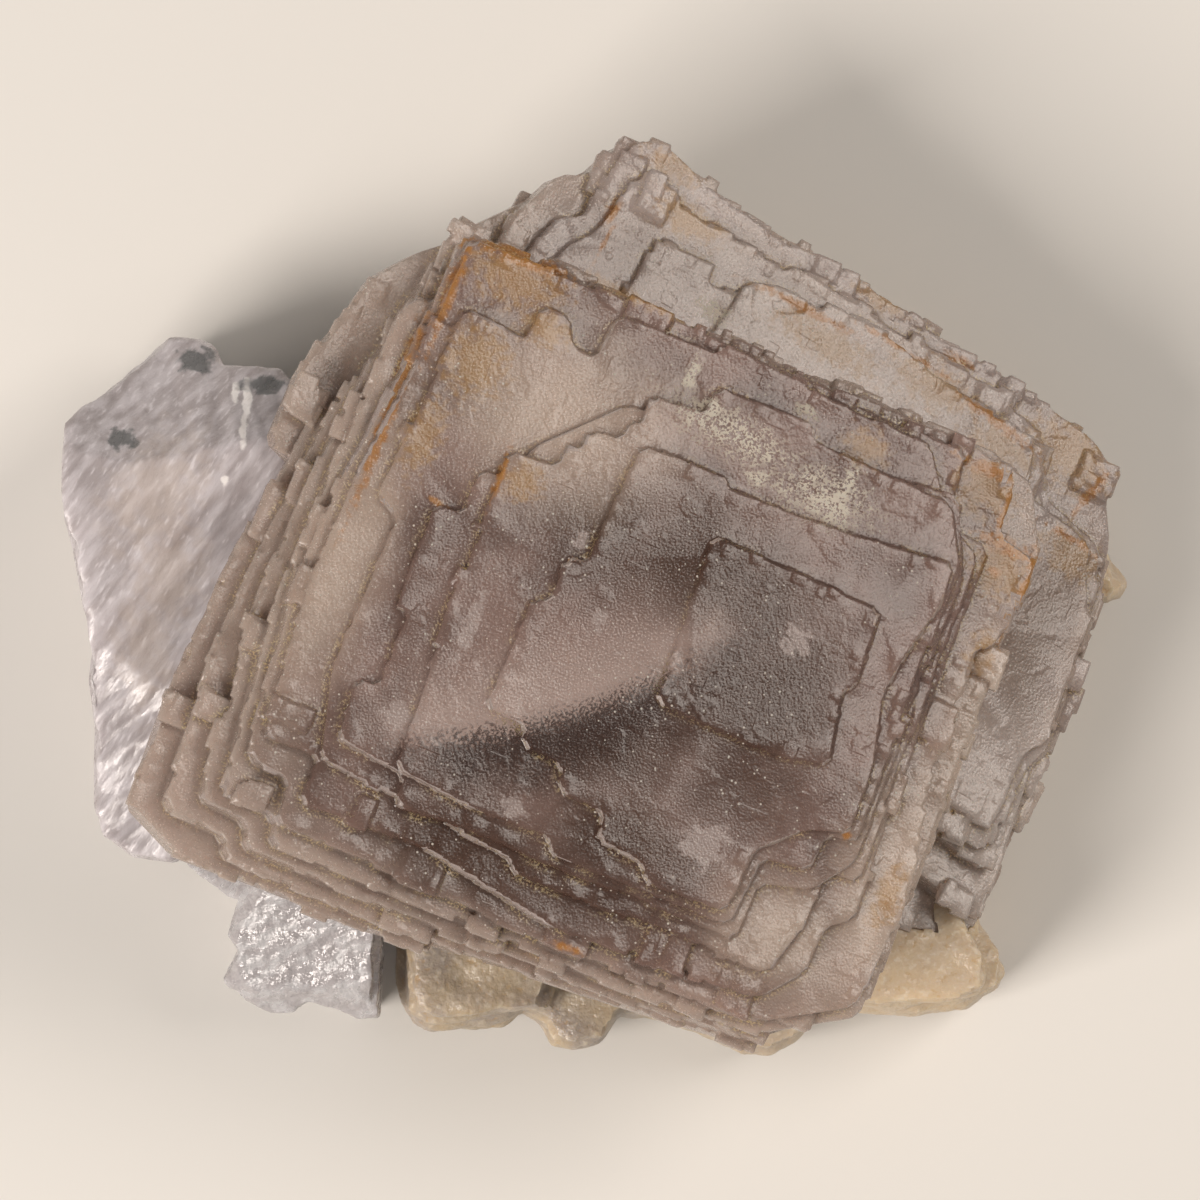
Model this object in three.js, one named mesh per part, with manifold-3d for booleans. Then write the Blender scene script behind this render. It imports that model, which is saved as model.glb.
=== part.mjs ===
// A fluorite specimen, lying on the flat break where it came off the rock.
// Two stepped cubes of fluorite are grown together on a honey-coloured base, with a white cleaved slab of
// calcite at their left and a clear broken chunk at the lower left.
// Millimetres, +Z up, X to the right and Y up the specimen as it is looked down on.
// The origin is on the surface it lies on, below the middle of its outline.

import * as THREE from "three";
import { mergeVertices } from "three/addons/utils/BufferGeometryUtils.js";
import Module from "manifold-3d";

const wasm = await Module();
wasm.setup();

const GAP = 0.3; // between pieces that touch
const BASE_TOP = 10; // the honey base ends here, and the crystals are cut off flat just above it
const SLAB_TOP = 23; // calcite slab at the left
const CHUNK_TOP = 17; // clear chunk at the lower left
const MATRIX_TOP = 16; // shoulders of the honey base, below the lower sides of the cubes
const FAR = 200; // wider than the whole specimen

const STEP_RUN = 5.5; // spacing of the small growth steps along a long edge
const STEP_SCATTER = 0.6; // share of that spacing by which they are moved about
const STEP_BITE = 0.35; // how far such a step goes in, at most
const STEP_BITE_LEAST = 0.3; // share of that bite which every step has
const CORNER = 0.55; // how far a terrace's corners are blunted
const CORNER_SHARE = 0.4; // but by no more than this share of a side
const CORNER_LEAST = 0.25; // and not at all below this

const BLOCKS_PER_TERRACE = 9; // small square growth blocks that sit on the brink of a terrace
const BLOCK_HALF = 0.7; // their shortest half side
const BLOCK_SPREAD = 1.2; // added to it at most
const BLOCK_OVERHANG = 0.35; // how far they stand out past the brink
const BLOCK_RISE = 0.75; // their height as a share of the step to the terrace above, at most
const BLOCK_RISE_LEAST = 0.35; // share of that height which every block has
const BLOCK_DEPTH = 2;
const MAIN_BLOCKS_FROM = 5; // the first terrace of the main cube that has such blocks
const REAR_BLOCKS_FROM = 2; // and of the second cube
const MAIN_SEED = 101; // each seed stands for one arrangement of steps and blocks
const REAR_SEED = 907;

const TIER_DEPTH = 3; // below its listed terraces a cube goes on down in tiers this high
const TIER_OVERLAP = 1.3; // each is this many times as thick, so that it joins the next
const TIER_START = 0.9; // depth of the first one's top, in tiers
const TIER_DRAW_IN = 0.045; // each is smaller than the one above by this share

// One number after another between 0 and 1, the same on every run.
function numbersFrom(seed) {
  let state = seed;
  return () => {
    state = (state * 16807) % 2147483647;
    return state / 2147483647;
  };
}

// A crystal's own axes: strike turns it about Z, dipA lowers its right side, dipB its far side, in degrees.
function crystalAxes(strike, dipA, dipB, centre) {
  const turn = new THREE.Matrix4().makeRotationZ(THREE.MathUtils.degToRad(-strike));
  const lowerRight = new THREE.Matrix4().makeRotationY(THREE.MathUtils.degToRad(dipA));
  const lowerFar = new THREE.Matrix4().makeRotationX(THREE.MathUtils.degToRad(-dipB));
  const place = new THREE.Matrix4().makeTranslation(...centre);
  return place.multiply(turn).multiply(lowerRight).multiply(lowerFar);
}

const MAIN_CUBE = crystalAxes(22.5, 10, 10, [3.3, -3.3, 34]);
const REAR_CUBE = crystalAxes(31, 13, 13, [20, 18, 20]);

// Long edges of a growth terrace are not straight: they run in short steps along the cube's own axes.
function steppedEdges(corners, random) {
  const points = [];
  corners.forEach(([x, y], i) => {
    const [nextX, nextY] = corners[(i + 1) % corners.length];
    const length = Math.hypot(nextX - x, nextY - y);
    points.push([x, y]);
    const steps = Math.floor(length / STEP_RUN) - 1;
    if (steps < 1) return;
    const [alongX, alongY] = [(nextX - x) / length, (nextY - y) / length];
    let inward = 0;
    for (let k = 1; k <= steps; k++) {
      const at = ((k + STEP_SCATTER * (random() - 0.5)) * length) / (steps + 1);
      const share = STEP_BITE_LEAST + (1 - STEP_BITE_LEAST) * random();
      const bite = k === steps ? 0 : STEP_BITE * share * (k % 2);
      if (bite === inward) continue;
      points.push([x + alongX * at + alongY * inward, y + alongY * at - alongX * inward]);
      points.push([x + alongX * at + alongY * bite, y + alongY * at - alongX * bite]);
      inward = bite;
    }
  });
  return points;
}

// Blunts each corner whose two sides are long enough.
function bluntCorners(points, size) {
  const blunted = [];
  points.forEach((here, i) => {
    const before = points[(i + points.length - 1) % points.length];
    const after = points[(i + 1) % points.length];
    const reachBack = Math.hypot(before[0] - here[0], before[1] - here[1]);
    const reachOn = Math.hypot(after[0] - here[0], after[1] - here[1]);
    const cut = Math.min(size, reachBack * CORNER_SHARE, reachOn * CORNER_SHARE);
    if (cut < CORNER_LEAST) {
      blunted.push(here);
      return;
    }
    const towards = (other, reach) => [
      here[0] + ((other[0] - here[0]) * cut) / reach,
      here[1] + ((other[1] - here[1]) * cut) / reach,
    ];
    blunted.push(towards(before, reachBack), towards(after, reachOn));
  });
  return blunted;
}

// Moves an outline outwards by an amount; corners are listed clockwise. A sharp corner moves no further than
// one whose sides' outward directions add up to this length.
const SHARPEST = 0.35;

function grownOutline(points, amount) {
  if (!amount) return points;
  return points.map((here, i) => {
    const before = points[(i + points.length - 1) % points.length];
    const after = points[(i + 1) % points.length];
    const outward = (from, to) => {
      const length = Math.hypot(to[0] - from[0], to[1] - from[1]);
      return [-(to[1] - from[1]) / length, (to[0] - from[0]) / length];
    };
    const first = outward(before, here);
    const second = outward(here, after);
    const reach = Math.max(SHARPEST, 1 + first[0] * second[0] + first[1] * second[1]);
    return [
      here[0] + (amount * (first[0] + second[0])) / reach,
      here[1] + (amount * (first[1] + second[1])) / reach,
    ];
  });
}

// A closed solid from a three.js geometry, ready to be joined or cut.
function solidFrom(geometry) {
  geometry.deleteAttribute("normal");
  geometry.deleteAttribute("uv");
  const merged = mergeVertices(geometry, 1e-4);
  return new wasm.Manifold(
    new wasm.Mesh({
      numProp: 3,
      vertProperties: new Float32Array(merged.attributes.position.array),
      triVerts: new Uint32Array(merged.index.array),
    }),
  );
}

// An outline raised from one height to another, in the axes given.
function slabSolid(points, bottom, top, axes = new THREE.Matrix4()) {
  const shape = new THREE.Shape(points.map(([x, y]) => new THREE.Vector2(x, y)));
  const geometry = new THREE.ExtrudeGeometry(shape, { depth: top - bottom, bevelEnabled: false });
  geometry.translate(0, 0, bottom);
  geometry.applyMatrix4(axes);
  return solidFrom(geometry);
}

function joined(solids) {
  return solids.reduce((all, next) => all.add(next));
}

// Only the largest body is kept, so a crumb left by a cut is dropped.
function largestBody(solid) {
  return solid.decompose().reduce((best, next) => (next.volume() > best.volume() ? next : best));
}

// The terraces of the main cube, from its summit down: height of the terrace on the cube's own axis, how
// thick its slab is, and its corners, clockwise from the upper left.
const MAIN_TERRACES = [
  {
    top: 1.1,
    depth: 2,
    corners: [[2.5, 10.2], [17.8, 9.8], [18.2, 3], [17.2, 2.5], [18.4, -3.8], [14, -4.8], [3, -4.5]],
  },
  {
    top: 0.8,
    depth: 2,
    corners: [
      [-5.7, 15], [2, 15.2], [2.2, 14.4], [12, 14.7], [22.4, 15.8], [22.6, 12.5], [21.2, 7], [20.6, 3.5],
      [22, -2.7], [22, -8.4], [18.5, -9.5], [15, -12.8], [14.6, -18.4], [7.3, -18.6], [6.8, -17.2],
      [2.5, -16.8], [2.2, -14.5], [-2, -14.3], [-2.4, -12.2], [-6.2, -12], [-6.4, -10.3], [-10.2, -10.1],
      [-9.6, -0.3], [-8.2, 0], [-8.3, 3.8], [-6.6, 4],
    ],
  },
  {
    top: 0.3,
    depth: 2,
    corners: [
      [-15.8, 10.4], [-11.6, 10.7], [-11.4, 12.6], [-10.2, 12.8], [-10.1, 14.6], [-7.4, 14.9], [-7.2, 16.6],
      [-6.2, 16.8], [-6.3, 19.2], [-1.5, 19.6], [-1.4, 22], [7.4, 22.3], [7.5, 21], [20.6, 20.5], [23, 16],
      [22.9, -8.8], [20.4, -9.2], [20, -12.5], [16, -13], [15.4, -19.2], [-0.8, -19.4], [-1.2, -18],
      [-7.5, -18.3], [-15.2, -17.6], [-15.6, -7], [-16, -6.8],
    ],
  },
  {
    top: -0.2,
    depth: 2,
    corners: [
      [-19.9, 4], [-17.4, 4.1], [-17.5, 8.1], [-15, 8.3], [-14, 11.6], [-8, 17.8], [21, 21.5], [23.6, 15.6],
      [23.6, -10.2], [21, -13.8], [16.6, -15], [16.4, -20], [-14.2, -20.2], [-14.3, -17.8], [-20.6, -17],
      [-20.8, -12], [-18.9, -11.8], [-18.8, -5.2], [-20, -5],
    ],
  },
  {
    top: -0.7,
    depth: 2,
    corners: [
      [-23.4, 20.2], [-17.6, 19.7], [-17.4, 22.9], [-15, 22.9], [-13.8, 20.6], [-11.6, 20.6], [-11.1, 24.7],
      [-2.2, 24.8], [-2, 25.8], [17.4, 24.6], [20.9, 19.4], [24.4, 17.5], [24.6, -11.5], [21.8, -12],
      [21.5, -16.8], [20, -21.6], [-3, -21.8], [-3.4, -20.8], [-21.2, -19], [-23, -12], [-22.4, 2], [-24.6, 3],
    ],
  },
  {
    top: -1.3,
    depth: 2.5,
    corners: [
      [-24.8, 25.9], [-8, 26.3], [20.4, 25.4], [21, 19.3], [25.2, 18.6], [25, 3], [25.4, -14.6], [23.3, -16.2],
      [23, -20.4], [20.2, -23.7], [2.4, -24.7], [-3.3, -23.8], [-10.9, -22.5], [-21.4, -23], [-21.2, -18.8],
      [-26.1, -18.9], [-27.2, -6.3], [-26.8, 3.4], [-25.4, 14],
    ],
  },
  {
    top: -2.2,
    depth: 3,
    corners: [
      [-25.2, 24], [-24.6, 26.5], [20.8, 26.4], [25.4, 25.4], [25.8, 20.2], [29.4, 19.4], [29.5, 17],
      [28.6, 11], [27.2, 10.6], [27.4, -3], [28.9, -9.5], [28.9, -16], [28.2, -21.2], [21.4, -25.2],
      [3, -25.8], [-10, -25.2], [-22.5, -25], [-22.7, -21.4], [-26.4, -21], [-28, -8], [-27.6, 3.6], [-26, 15],
    ],
  },
  {
    top: -3.8,
    depth: 4,
    corners: [
      [-27.5, 19.8], [-25.4, 20.3], [-25, 26.8], [20, 27], [27.2, 25.8], [29.8, 20.6], [29.6, -10],
      [29.2, -21.6], [21.8, -26], [8, -26.8], [-11, -26.6], [-22, -26.6], [-22.4, -24.4], [-27.2, -24],
      [-28.6, -9], [-28.3, 4],
    ],
  },
  {
    top: -6,
    depth: 4,
    corners: [
      [-28.2, 15], [-26.2, 15.4], [-26, 20.6], [-24.6, 26.6], [26, 26.6], [29.8, 20], [29.6, -20], [22, -26.4],
      [8, -27.4], [-11, -27.6], [-23.6, -27.4], [-24, -25.4], [-28.4, -25], [-29.8, -8], [-29.2, 4],
    ],
  },
  {
    top: -8.4,
    depth: 4,
    corners: [
      [-29, 12.4], [-27, 12.8], [-26.4, 17.4], [-24, 23], [26, 26], [29.4, 18], [29.4, -18], [22, -26.4],
      [8, -27.6], [-10.6, -28.6], [-24.6, -28.4], [-25, -26.8], [-30.6, -26.4], [-31.4, -12], [-30.2, 2],
    ],
  },
  {
    top: -11,
    depth: 3.6,
    corners: [
      [-30.4, 8], [-27.6, 12], [-24, 22], [26, 25], [28.4, 16], [28.4, -16], [21, -25.6], [6, -27],
      [-10.8, -29.2], [-27.8, -29.4], [-33, -27], [-33.2, -18], [-32.2, -4],
    ],
  },
];

// The terraces of the second cube, in the same form.
const REAR_TERRACES = [
  {
    top: 0.9,
    depth: 2.5,
    corners: [
      [-11.2, 3.4], [-8.6, 4.5], [-4.4, 4.4], [-4.2, 5.4], [2, 5.6], [8.4, 4.6], [17, 4.4], [18, 2.4], [19, -6],
      [19, -20], [-14, -20],
    ],
  },
  {
    top: 0.35,
    depth: 2.5,
    corners: [
      [-19.4, 2.6], [-14.6, 3], [-13.8, 1.2], [-11, 2], [10, 4.8], [18.6, 4.4], [19.2, 0.3], [25.8, -0.5],
      [26.6, -3], [28.6, -6], [30.4, -17.3], [29, -18.8], [29.4, -26], [-22, -24],
    ],
  },
  {
    top: -0.4,
    depth: 3,
    corners: [
      [-23.6, 6.5], [-19.4, 6.8], [-19.2, 6.1], [-8.4, 6.2], [-8.2, 6.9], [10.8, 6.8], [18, 5.6], [20.4, 1.2],
      [27, -0.2], [29, -6], [30.9, -17.2], [30, -20], [30, -28], [-26.6, -24], [-26.2, -2], [-24.4, 0.6],
    ],
  },
  {
    top: -1.2,
    depth: 3,
    corners: [
      [-25, 9.2], [-23, 10.3], [-20.5, 9.9], [-17, 8.9], [-8.5, 8.4], [-2, 8.9], [16, 8.4], [22.5, 7.8],
      [25, 6.4], [25.6, 4], [27.6, 1], [29.1, -4], [31, -14], [31.4, -17.6], [30.6, -19], [31.4, -29],
      [-29, -24], [-28.8, -5], [-27.6, 0.4], [-25.8, 1.2],
    ],
  },
  {
    top: -2.8,
    depth: 3.4,
    corners: [
      [-25.6, 8.9], [-23.4, 9.8], [-2, 8.8], [22.6, 7.6], [25.6, 3.4], [29.4, -4], [31.8, -17], [31, -18.6],
      [32.2, -25], [32.8, -32.6], [-31, -24], [-30.6, -1], [-29, 3.8], [-27, 4.8],
    ],
  },
  {
    top: -5.4,
    depth: 3.6,
    corners: [
      [-27, 5.4], [-24, 8.8], [-2, 8.4], [21, 7], [26, 2], [29.6, -6], [31.8, -18], [33.6, -29.4],
      [33.4, -34], [16, -40], [-36, -26], [-33.8, -6], [-33, -3.4], [-30, 0.8],
    ],
  },
  {
    top: -8.4,
    depth: 3,
    corners: [
      [-28, 3.4], [-22, 7.6], [20, 6.4], [28, -4], [32.4, -20], [34, -31], [32, -35], [16, -40], [-38.6, -27],
      [-39.2, -20.4], [-38, -15], [-37.6, -10.6], [-35.4, -7], [-33, -4.4],
    ],
  },
];

// Below the listed terraces each cube goes on down in tiers that draw in towards its root.
const MAIN_ROOT = { corner: [22, 18], tiers: 8 };
const REAR_ROOT = { corner: [8, -16], tiers: 6 };

function towards([x, y], [rootX, rootY], scale) {
  return [rootX + (x - rootX) * scale, rootY + (y - rootY) * scale];
}

function rootTiers(terraces, { corner, tiers }) {
  const last = terraces[terraces.length - 1];
  return Array.from({ length: tiers }, (_, k) => ({
    top: last.top - TIER_DEPTH * (k + TIER_START),
    depth: TIER_DEPTH * TIER_OVERLAP,
    corners: last.corners.map((point) => towards(point, corner, 1 - TIER_DRAW_IN * (k + 1))),
  }));
}

// A place on an outline, by how far round it is from 0 to 1.
function placeOn(outline, share) {
  const lengths = outline.map(([x, y], i) => {
    const [nextX, nextY] = outline[(i + 1) % outline.length];
    return Math.hypot(nextX - x, nextY - y);
  });
  let left = share * lengths.reduce((sum, length) => sum + length, 0);
  const side = lengths.findIndex((length) => {
    if (left <= length) return true;
    left -= length;
    return false;
  });
  const [x, y] = outline[side];
  const [nextX, nextY] = outline[(side + 1) % outline.length];
  const part = left / lengths[side];
  return [x + (nextX - x) * part, y + (nextY - y) * part];
}

// Small square growth blocks that sit on the brink of a terrace and break up its edge.
function growthBlocks(terrace, rise, random) {
  return Array.from({ length: BLOCKS_PER_TERRACE }, (_, k) => {
    const [x, y] = placeOn(terrace.corners, (k + random()) / BLOCKS_PER_TERRACE);
    const halfX = BLOCK_HALF + BLOCK_SPREAD * random();
    const halfY = BLOCK_HALF + BLOCK_SPREAD * random();
    const centreX = x - Math.sign(x) * (halfX - BLOCK_OVERHANG);
    const centreY = y - Math.sign(y) * (halfY - BLOCK_OVERHANG);
    const share = BLOCK_RISE_LEAST + (1 - BLOCK_RISE_LEAST) * random();
    return {
      top: terrace.top + rise * BLOCK_RISE * share,
      depth: BLOCK_DEPTH,
      corners: [
        [centreX - halfX, centreY + halfY],
        [centreX + halfX, centreY + halfY],
        [centreX + halfX, centreY - halfY],
        [centreX - halfX, centreY - halfY],
      ],
    };
  });
}

// One cube as a list of joined slabs. Blocks go on the terraces from firstBlocks to the last listed one.
function stepped(terraces, axes, root, firstBlocks, seed, growth) {
  const random = numbersFrom(seed);
  const tiers = terraces.map((tier) => ({
    ...tier,
    corners: bluntCorners(steppedEdges(tier.corners, random), CORNER),
  }));
  const blocks = terraces
    .slice(firstBlocks)
    .flatMap((terrace, i) =>
      growthBlocks(terrace, terraces[firstBlocks + i - 1].top - terrace.top, random),
    );
  return [...tiers, ...rootTiers(terraces, root), ...blocks].map(({ top, depth, corners }) =>
    slabSolid(grownOutline(corners, growth), top - depth - growth, top + growth, axes),
  );
}

// All the fluorite, cut off flat where it left the base; growth makes it larger all round.
function fluorite(growth = 0) {
  const whole = joined([
    ...stepped(MAIN_TERRACES, MAIN_CUBE, MAIN_ROOT, MAIN_BLOCKS_FROM, MAIN_SEED, growth),
    ...stepped(REAR_TERRACES, REAR_CUBE, REAR_ROOT, REAR_BLOCKS_FROM, REAR_SEED, growth),
  ]);
  const above = new THREE.BoxGeometry(FAR, FAR, FAR);
  above.translate(0, 0, FAR / 2 + BASE_TOP + GAP - growth);
  return whole.intersect(solidFrom(above));
}

// Outlines seen from above, in the part's own X and Y, clockwise from the upper left.
const SLAB_OUTLINE = [
  [-44.8, 14.7], [-43.3, 16.4], [-40.6, 18.5], [-37.9, 20.6], [-36.2, 22], [-34, 21.7], [-32.8, 21.2],
  [-32, 19.4], [-27, 19.1], [-25.4, 17.4], [-24, 13], [-24, -6], [-30, -16], [-35.9, -21.8], [-39.2, -21.5],
  [-41.3, -20], [-42.2, -17.2], [-42.3, -10.9], [-43, -7], [-42.6, -1.3], [-43.9, 4.2], [-44.8, 7],
];
const CHUNK_OUTLINE = [
  [-35.4, -22.3], [-30, -20], [-18.2, -22], [-18.8, -35.4], [-20.4, -35.6], [-22, -34.8], [-24.8, -34],
  [-26, -34.8], [-28, -35], [-29.2, -34.2], [-30.1, -33.8], [-31.8, -32.2], [-30.6, -29.6], [-31.5, -28.4],
  [-31, -26.4], [-30.4, -24.9], [-31.8, -24.6],
];
const MATRIX_OUTLINE = [
  [-23, 8], [-18, 20], [-6, 26], [2, 33], [10, 31], [24, 22], [36, 13.5], [40.5, 9], [41.4, 4.6],
  [43.6, 4], [43.4, 3.2], [44.7, 1.4], [44.2, 0.4], [41.4, 0.2], [38, -8], [34, -22], [31.8, -26.6],
  [33.6, -29.6], [34.4, -31.6], [33.8, -33], [31.2, -34.8], [25.6, -35.4], [19, -34.8], [16.8, -37.2],
  [14.4, -38.4], [12.3, -38.4], [9.6, -37.3], [3.8, -35.4], [1.3, -35], [-0.2, -37.4], [-2.7, -38],
  [-4, -37.8], [-4.8, -36], [-6.6, -35], [-8.4, -36], [-14.5, -36.7], [-16, -36.2], [-17, -34.6],
  [-17.4, -31.8], [-17.2, -20], [-23, -8],
];
const MATRIX_RIGHT_SHOULDER = [
  [14, -24], [30, -18], [31.6, -26.6], [33.4, -29.8], [33.6, -32.6], [30.8, -34], [24, -34.4], [18, -33.6],
  [15, -36.4], [11, -36.6],
];
const MATRIX_LEFT_SHOULDER = [
  [-17, -24], [-2, -28], [-4.4, -34.6], [-8, -35], [-14.4, -35.8], [-16.2, -34.8],
];

// A broken lump: an outline raised in layers, each drawn in and moved a little from the one below.
function lump(outline, layers) {
  const centre = outline
    .reduce((sum, [x, y]) => [sum[0] + x, sum[1] + y], [0, 0])
    .map((total) => total / outline.length);
  return joined(
    layers.map(({ bottom, top, scale }) =>
      slabSolid(
        outline.map((point) => towards(point, centre, scale)),
        bottom,
        top,
      ),
    ),
  );
}

// A flat break: everything above the plane through a point, with the given slopes, is taken off.
function brokenAt(solid, { point: [x, y, z], slopeX, slopeY }) {
  const away = new THREE.BoxGeometry(FAR, FAR, FAR);
  away.translate(0, 0, FAR / 2);
  away.rotateY(-Math.atan(slopeX));
  away.rotateX(Math.atan(slopeY));
  away.translate(x, y, z);
  return solid.subtract(solidFrom(away));
}

const SLAB_LAYERS = [
  { bottom: 0, top: 7, scale: 0.96 },
  { bottom: 4, top: 15, scale: 0.985 },
  { bottom: 12, top: SLAB_TOP, scale: 1 },
];
const CHUNK_LAYERS = [
  { bottom: 0, top: 6, scale: 0.94 },
  { bottom: 3, top: 13, scale: 1 },
  { bottom: 10, top: CHUNK_TOP, scale: 0.93 },
];
const MATRIX_LAYERS = [
  { bottom: 0, top: 3.5, scale: 0.95 },
  { bottom: 2, top: 7.5, scale: 1 },
  { bottom: 6, top: BASE_TOP, scale: 0.975 },
];
const SHOULDER_LAYERS = [
  { bottom: 5, top: 13, scale: 1 },
  { bottom: 9, top: MATRIX_TOP, scale: 0.86 },
];
const SLAB_BREAKS = [
  { point: [-40, 14, SLAB_TOP - 1], slopeX: 0.22, slopeY: -0.3 },
  { point: [-39, -12, SLAB_TOP - 1.5], slopeX: 0.16, slopeY: 0.24 },
  { point: [-30, 18.4, SLAB_TOP - 5], slopeX: 0.1, slopeY: -0.9 },
];
const CHUNK_BREAK = { point: [-29, -32, CHUNK_TOP - 3.5], slopeX: 0.18, slopeY: 0.35 };

// The room that a neighbour needs: its outline, grown by the gap, from below the floor to above its top.
function roomFor(outline, top) {
  return slabSolid(grownOutline(outline, GAP), -1, top + GAP);
}

const crystals = fluorite();
const crystalRoom = fluorite(GAP);

const matrixSolid = joined([
  lump(MATRIX_OUTLINE, MATRIX_LAYERS),
  lump(MATRIX_RIGHT_SHOULDER, SHOULDER_LAYERS),
  lump(MATRIX_LEFT_SHOULDER, SHOULDER_LAYERS),
]).subtract(crystalRoom);

const slabBody = SLAB_BREAKS.reduce(brokenAt, lump(SLAB_OUTLINE, SLAB_LAYERS))
  .subtract(crystalRoom)
  .subtract(roomFor(MATRIX_OUTLINE, MATRIX_TOP));

const chunkBody = brokenAt(lump(CHUNK_OUTLINE, CHUNK_LAYERS), CHUNK_BREAK)
  .subtract(crystalRoom)
  .subtract(roomFor(MATRIX_OUTLINE, MATRIX_TOP))
  .subtract(roomFor(SLAB_OUTLINE, SLAB_TOP));

function meshOf(name, solid, material) {
  const { numProp, vertProperties, triVerts } = largestBody(solid).getMesh();
  const positions = new Float32Array((vertProperties.length / numProp) * 3);
  for (let i = 0; i < positions.length / 3; i++) {
    positions.set(vertProperties.subarray(i * numProp, i * numProp + 3), i * 3);
  }
  const geometry = new THREE.BufferGeometry();
  geometry.setAttribute("position", new THREE.BufferAttribute(positions, 3));
  geometry.setIndex(new THREE.BufferAttribute(new Uint32Array(triVerts), 1));
  const mesh = new THREE.Mesh(geometry, new THREE.MeshStandardMaterial(material));
  mesh.name = name;
  return mesh;
}

const specimen = new THREE.Group();
specimen.add(
  meshOf("fluorite_crystals", crystals, { color: 0x9a8e8e, roughness: 0.35, metalness: 0 }),
  meshOf("calcite_slab", slabBody, { color: 0xb9b4b4, roughness: 0.3, metalness: 0 }),
  meshOf("calcite_chunk", chunkBody, { color: 0xb3abab, roughness: 0.15, metalness: 0 }),
  meshOf("honey_matrix", matrixSolid, { color: 0xc0ab84, roughness: 0.45, metalness: 0 }),
);

export default specimen;
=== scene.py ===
# %% [markdown]
# # A stepped fluorite specimen
#
# Two big cubes of fluorite are grown together on a honey-coloured base. A white cleaved slab of calcite
# stands at their left, and a clear broken chunk of it at the lower left. The specimen lies on its flat, broken
# back, and the camera looks straight down on it. Sizes are in millimetres here, and `MM` turns them to metres.
#
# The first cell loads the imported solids, which already have every large form at its real size and place. The
# rest of the lesson gives each of them its fine surface and its finish.

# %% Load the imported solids
import math

import bmesh
import bpy
import numpy as np
from mathutils import Matrix, Vector
from mathutils.bvhtree import BVHTree


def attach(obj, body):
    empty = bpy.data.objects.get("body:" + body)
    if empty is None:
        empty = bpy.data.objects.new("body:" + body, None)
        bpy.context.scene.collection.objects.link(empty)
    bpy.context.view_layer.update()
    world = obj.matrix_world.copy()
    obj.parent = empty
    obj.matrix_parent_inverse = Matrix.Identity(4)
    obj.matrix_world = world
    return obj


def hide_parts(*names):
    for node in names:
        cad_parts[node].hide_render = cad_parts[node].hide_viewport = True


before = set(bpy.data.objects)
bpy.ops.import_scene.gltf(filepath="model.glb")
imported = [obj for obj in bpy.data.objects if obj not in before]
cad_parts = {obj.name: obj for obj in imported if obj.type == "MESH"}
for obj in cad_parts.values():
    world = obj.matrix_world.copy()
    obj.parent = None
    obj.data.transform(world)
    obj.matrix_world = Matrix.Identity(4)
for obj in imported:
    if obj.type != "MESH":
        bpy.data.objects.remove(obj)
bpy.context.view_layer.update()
MM = 0.001
print("solids:", sorted(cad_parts))

# %% [markdown]
# ## The camera
#
# A close-up of a mineral is taken with a long lens from about a metre away, so that its upright edges hardly
# lean. A short lens close by would frame it too, but the near corners would swell. A frame 100 mm wide at mid
# height fills the square picture: with a 36 mm sensor, the lens is 36 / 100 of the distance.

# %% Camera
FOCUS_HEIGHT = 25
CAMERA_DISTANCE = 833
FRAME_WIDTH = 100

camera_data = bpy.data.cameras.new("camera")
camera_data.sensor_width = 36
camera_data.lens = camera_data.sensor_width * CAMERA_DISTANCE / FRAME_WIDTH
camera_data.clip_start = 0.05
camera_data.clip_end = 10
camera = bpy.data.objects.new("camera", camera_data)
bpy.context.scene.collection.objects.link(camera)
camera.location = (0, 0, (FOCUS_HEIGHT + CAMERA_DISTANCE) * MM)
bpy.context.scene.camera = camera
print("lens of", round(camera_data.lens), "mm")

# %% [markdown]
# ## The cubes' own axes
#
# Every ledge and step of a crystal runs along the axes it grew on. Each cube therefore has its own frame:
# `a` to the right along its face, `b` up the face, `c` out of it. Both lean, so they are turned about Z and
# then dipped at the right and at the far side. All patterns on the crystals are worked out in these axes.

# %% Crystal axes
def crystal_axes(strike, dip_a, dip_b, centre):
    """A crystal's frame in metres: turned by strike, dipped along a and b, all in degrees."""
    place = Matrix.Translation(Vector(centre) * MM)
    turn = Matrix.Rotation(math.radians(-strike), 4, "Z")
    lower_right = Matrix.Rotation(math.radians(dip_a), 4, "Y")
    lower_far = Matrix.Rotation(math.radians(-dip_b), 4, "X")
    return place @ turn @ lower_right @ lower_far


MAIN_CUBE = crystal_axes(22.5, 10, 10, (3.3, -3.3, 34))
REAR_CUBE = crystal_axes(31, 13, 13, (20, 18, 20))


def in_axes(points, axes):
    """Points in metres, as rows, turned to millimetres in a crystal's frame."""
    back = np.array(axes.inverted())
    return (points @ back[:3, :3].T + back[:3, 3]) / MM


def direction_in_axes(vectors, axes):
    """Directions, as rows, turned to a crystal's frame."""
    return vectors @ np.array(axes)[:3, :3]


lean = MAIN_CUBE.to_3x3().col[2].angle(Vector((0, 0, 1)))
print("the main cube leans by", round(math.degrees(lean), 1), "degrees")

# %% [markdown]
# ## A working copy of a solid
#
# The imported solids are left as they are. A new piece could be modelled from a plain box, but a copy of its
# solid is already the right size and in the right place. Its loose triangles are merged to one surface.

# %% Copy a solid
MERGE_DISTANCE = 1e-7


def make_active(piece):
    """Selects one piece alone."""
    bpy.ops.object.select_all(action="DESELECT")
    piece.select_set(True)
    bpy.context.view_layer.objects.active = piece


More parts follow.
